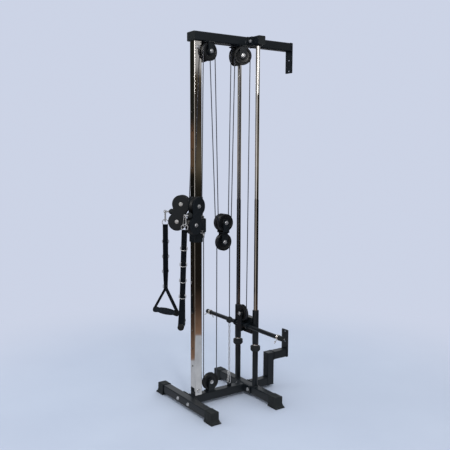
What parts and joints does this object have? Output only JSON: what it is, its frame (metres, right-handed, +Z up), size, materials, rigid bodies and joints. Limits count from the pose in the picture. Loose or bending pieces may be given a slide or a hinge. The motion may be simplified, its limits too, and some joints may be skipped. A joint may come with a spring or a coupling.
{
  "type": "dual cable pulley station",
  "caption": "Wall-braced cable station: chromed column, height-adjustable swivel pulleys with strap handles, plate-loaded carriage on guide rods.",
  "frame": {"origin": "on the floor, at the middle of the machine's footprint box", "axes": "+Z up, +Y towards the wall, +X to the right of a user who faces the machine"},
  "size_m": [0.776, 0.9144, 2.15],
  "materials": {
    "frame_black": "satin black powder coat with fine orange peel",
    "chrome": "bright polished chrome plate",
    "rubber": "matt black moulded rubber",
    "nylon": "black glass-filled nylon, fine grain",
    "zinc": "bright zinc plate",
    "webbing": "woven black nylon webbing",
    "foam": "closed-cell foam grip, matt",
    "cable_grey": "nylon-coated steel cable, dark grey"
  },
  "bodies": {
    "frame": {"front_foot": "frame_black", "front_foot_cap_left": "rubber", "front_foot_cap_right": "rubber", "rear_foot": "frame_black", "rear_foot_cap_left": "rubber", "rear_foot_cap_right": "rubber", "base_beam": "frame_black", "upright": "chrome", "column_bolt_lower": "zinc", "column_bolt_upper": "zinc", "top_beam": "frame_black", "cross_beam": "frame_black", "top_wall_bracket": "frame_black", "lower_wall_bracket": "frame_black", "guide_rod_left": "chrome", "guide_rod_right": "chrome", "post_left": "frame_black", "post_right": "frame_black", "bumper_left": "rubber", "bumper_right": "rubber", "front_pulley_hanger": "frame_black", "rear_pulley_hanger": "frame_black", "base_pulley_bracket": "frame_black", "main_cable": "cable_grey", "lower_cable": "cable_grey", "lower_stop_ball": "rubber", "chain": "zinc", "snap_hook": "zinc"},
    "trolley": {"trolley": "frame_black"},
    "pop_pin": {"pop_pin": "nylon"},
    "head_left": {"head_frame_left": "frame_black"},
    "cable_end_left": {"stop_ball_left": "rubber"},
    "handle_left": {"carabiner_left": "zinc", "handle_ring_left": "zinc", "strap_left": "webbing"},
    "grip_left": {"grip_left": "foam"},
    "head_right": {"head_frame_right": "frame_black"},
    "cable_end_right": {"stop_ball_right": "rubber"},
    "handle_right": {"carabiner_right": "zinc", "handle_ring_right": "zinc", "strap_right": "webbing"},
    "grip_right": {"grip_right": "foam"},
    "block": {"block_frame": "frame_black"},
    "carriage": {"carriage_frame": "frame_black", "loading_bar": "frame_black"},
    "collar_left": {"spring_collar_left": "chrome"},
    "collar_right": {"spring_collar_right": "chrome"},
    "front_top_pulley_left": {"front_top_pulley_left": "nylon"},
    "front_top_pulley_right": {"front_top_pulley_right": "nylon"},
    "rear_top_pulley_left": {"rear_top_pulley_left": "nylon"},
    "rear_top_pulley_right": {"rear_top_pulley_right": "nylon"},
    "base_pulley": {"base_pulley": "nylon"},
    "block_pulley_left": {"block_pulley_left": "nylon"},
    "block_pulley_right": {"block_pulley_right": "nylon"},
    "block_pulley_lower": {"block_pulley_lower": "nylon"},
    "head_pulley_upper_left": {"head_pulley_upper_left": "nylon"},
    "head_pulley_upper_right": {"head_pulley_upper_right": "nylon"},
    "head_pulley_lower_left": {"head_pulley_lower_left": "nylon"},
    "head_pulley_lower_right": {"head_pulley_lower_right": "nylon"},
    "carriage_pulley": {"carriage_pulley": "nylon"}
  },
  "joints": [
    {"name": "trolley_slide", "type": "slide", "parent": "frame", "child": "trolley", "axis": [0, 0, 1], "range_m": [-0.4208, 0.6312], "deforming": ["lower_cable"]},
    {"name": "pop_pin_pull", "type": "slide", "parent": "trolley", "child": "pop_pin", "axis": [0, -1, 0], "range_m": [0, 0.012], "stiffness_N_per_m": 600, "springref_m": -0.01},
    {"name": "head_left_swivel", "type": "hinge", "parent": "trolley", "child": "head_left", "pos_m": [-0.068, -0.22684, 0], "axis": [0, 0, 1], "range_deg": [-43, 47]},
    {"name": "head_right_swivel", "type": "hinge", "parent": "trolley", "child": "head_right", "pos_m": [0.068, -0.22684, 0], "axis": [0, 0, 1], "range_deg": [-18, 72]},
    {"name": "carriage_lift", "type": "slide", "parent": "frame", "child": "carriage", "axis": [0, 0, 1], "range_m": [0, 1.3], "deforming": ["main_cable"]},
    {"name": "handle_left_pull", "type": "slide", "parent": "head_left", "child": "cable_end_left", "axis": [-0.7314, -0.682, 0], "range_m": [0, 1.3]},
    {"name": "handle_left_swing", "type": "hinge", "parent": "cable_end_left", "child": "handle_left", "pos_m": [-0.17478, -0.32641, 1.14], "axis": [-0.682, 0.7314, 0], "range_deg": [0, 80]},
    {"name": "grip_left_spin", "type": "hinge", "parent": "handle_left", "child": "grip_left", "pos_m": [-0.17478, -0.32641, 0.542], "axis": [0.9397, 0.342, 0], "continuous": true},
    {"name": "handle_right_pull", "type": "slide", "parent": "head_right", "child": "cable_end_right", "axis": [0.309, -0.9511, 0], "range_m": [0, 1.3]},
    {"name": "handle_right_swing", "type": "hinge", "parent": "cable_end_right", "child": "handle_right", "pos_m": [0.11312, -0.36569, 1.14], "axis": [-0.9511, -0.309, 0], "range_deg": [-2.9, 80]},
    {"name": "grip_right_spin", "type": "hinge", "parent": "handle_right", "child": "grip_right", "pos_m": [0.12247, -0.39447, 0.54277], "axis": [0.8287, -0.5582, 0.0399], "continuous": true},
    {"name": "block_slide", "type": "slide", "parent": "frame", "child": "block", "axis": [0, 0, 1], "range_m": [-0.32, 0.22]},
    {"name": "collar_left_slide", "type": "slide", "parent": "carriage", "child": "collar_left", "axis": [1, 0, 0], "range_m": [0, 0.22]},
    {"name": "collar_right_slide", "type": "slide", "parent": "carriage", "child": "collar_right", "axis": [-1, 0, 0], "range_m": [0, 0.22]},
    {"name": "front_top_pulley_left_spin", "type": "hinge", "parent": "frame", "child": "front_top_pulley_left", "pos_m": [-0.0355, -0.15684, 2.046], "axis": [0.9785, -0.2062, 0], "continuous": true},
    {"name": "rear_top_pulley_left_spin", "type": "hinge", "parent": "frame", "child": "rear_top_pulley_left", "pos_m": [-0.035, 0.07416, 2.041], "axis": [0.9415, 0.3371, 0], "continuous": true},
    {"name": "block_pulley_left_spin", "type": "hinge", "parent": "block", "child": "block_pulley_left", "pos_m": [-0.015, -0.03284, 1.074], "axis": [1, 0, 0], "continuous": true},
    {"name": "head_pulley_upper_left_spin", "type": "hinge", "parent": "head_left", "child": "head_pulley_upper_left", "pos_m": [-0.10164, -0.25821, 1.186], "axis": [0.682, -0.7314, 0], "continuous": true},
    {"name": "head_pulley_lower_left_spin", "type": "hinge", "parent": "head_left", "child": "head_pulley_lower_left", "pos_m": [-0.11993, -0.27526, 1.083], "axis": [0.682, -0.7314, 0], "continuous": true},
    {"name": "front_top_pulley_right_spin", "type": "hinge", "parent": "frame", "child": "front_top_pulley_right", "pos_m": [0.0355, -0.15684, 2.046], "axis": [0.9785, 0.2062, 0], "continuous": true},
    {"name": "rear_top_pulley_right_spin", "type": "hinge", "parent": "frame", "child": "rear_top_pulley_right", "pos_m": [0.035, 0.07416, 2.041], "axis": [0.9415, -0.3371, 0], "continuous": true},
    {"name": "block_pulley_right_spin", "type": "hinge", "parent": "block", "child": "block_pulley_right", "pos_m": [0.015, -0.03284, 1.074], "axis": [1, 0, 0], "continuous": true},
    {"name": "head_pulley_upper_right_spin", "type": "hinge", "parent": "head_right", "child": "head_pulley_upper_right", "pos_m": [0.08221, -0.27059, 1.186], "axis": [0.9511, 0.309, 0], "continuous": true},
    {"name": "head_pulley_lower_right_spin", "type": "hinge", "parent": "head_right", "child": "head_pulley_lower_right", "pos_m": [0.08994, -0.29437, 1.083], "axis": [0.9511, 0.309, 0], "continuous": true},
    {"name": "base_pulley_spin", "type": "hinge", "parent": "frame", "child": "base_pulley", "pos_m": [0, -0.12584, 0.122], "axis": [1, 0, 0], "continuous": true},
    {"name": "block_pulley_lower_spin", "type": "hinge", "parent": "block", "child": "block_pulley_lower", "pos_m": [0, -0.03284, 0.958], "axis": [1, 0, 0], "continuous": true},
    {"name": "carriage_pulley_spin", "type": "hinge", "parent": "carriage", "child": "carriage_pulley", "pos_m": [0, 0.10716, 0.507], "axis": [0, 1, 0], "continuous": true}
  ],
  "couplings": [
    {"joint": "handle_left_pull", "follows": "carriage_lift", "ratio": 1},
    {"joint": "handle_right_pull", "follows": "carriage_lift", "ratio": 1},
    {"joint": "block_slide", "follows": "trolley_slide", "ratio": -0.5},
    {"joint": "front_top_pulley_left_spin", "follows": "carriage_lift", "rad_per_m": 21.739},
    {"joint": "rear_top_pulley_left_spin", "follows": "carriage_lift", "rad_per_m": 21.739},
    {"joint": "block_pulley_left_spin", "follows": "carriage_lift", "rad_per_m": -21.739},
    {"joint": "head_pulley_upper_left_spin", "follows": "carriage_lift", "rad_per_m": -21.739},
    {"joint": "front_top_pulley_right_spin", "follows": "carriage_lift", "rad_per_m": 21.739},
    {"joint": "rear_top_pulley_right_spin", "follows": "carriage_lift", "rad_per_m": 21.739},
    {"joint": "block_pulley_right_spin", "follows": "carriage_lift", "rad_per_m": -21.739},
    {"joint": "head_pulley_upper_right_spin", "follows": "carriage_lift", "rad_per_m": -21.739},
    {"joint": "base_pulley_spin", "follows": "trolley_slide", "rad_per_m": -21.739},
    {"joint": "block_pulley_lower_spin", "follows": "trolley_slide", "rad_per_m": 10.87}
  ]
}
